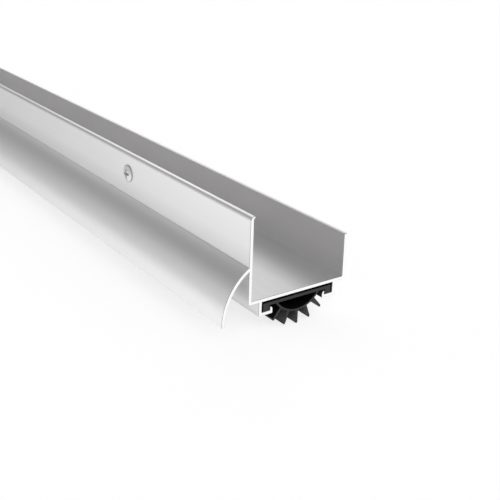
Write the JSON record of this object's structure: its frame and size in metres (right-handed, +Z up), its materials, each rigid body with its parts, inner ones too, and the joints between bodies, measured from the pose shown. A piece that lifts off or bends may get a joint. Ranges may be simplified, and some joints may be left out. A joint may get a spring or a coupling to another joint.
{
  "type": "door shoe",
  "caption": "U-shaped aluminium door shoe with a curved drip cap on the weather side, screws through its tall wall and a black finned bulb seal held under its floor.",
  "frame": {"origin": "centre of the channel floor's upper face, where the bottom edge of the door leaf sits", "axes": "+X along the door's bottom edge, -Y the weather side with the drip cap, +Z up"},
  "size_m": [0.9144, 0.0592, 0.049],
  "materials": {
    "aluminium": "mill finish with fine lines along the extrusion, satin",
    "black_rubber": "matt black flexible vinyl or rubber",
    "plated_steel": "bright zinc plate"
  },
  "bodies": {
    "root": {"channel": "aluminium", "seal": "black_rubber", "fixing_screws": "plated_steel"}
  },
  "joints": []
}
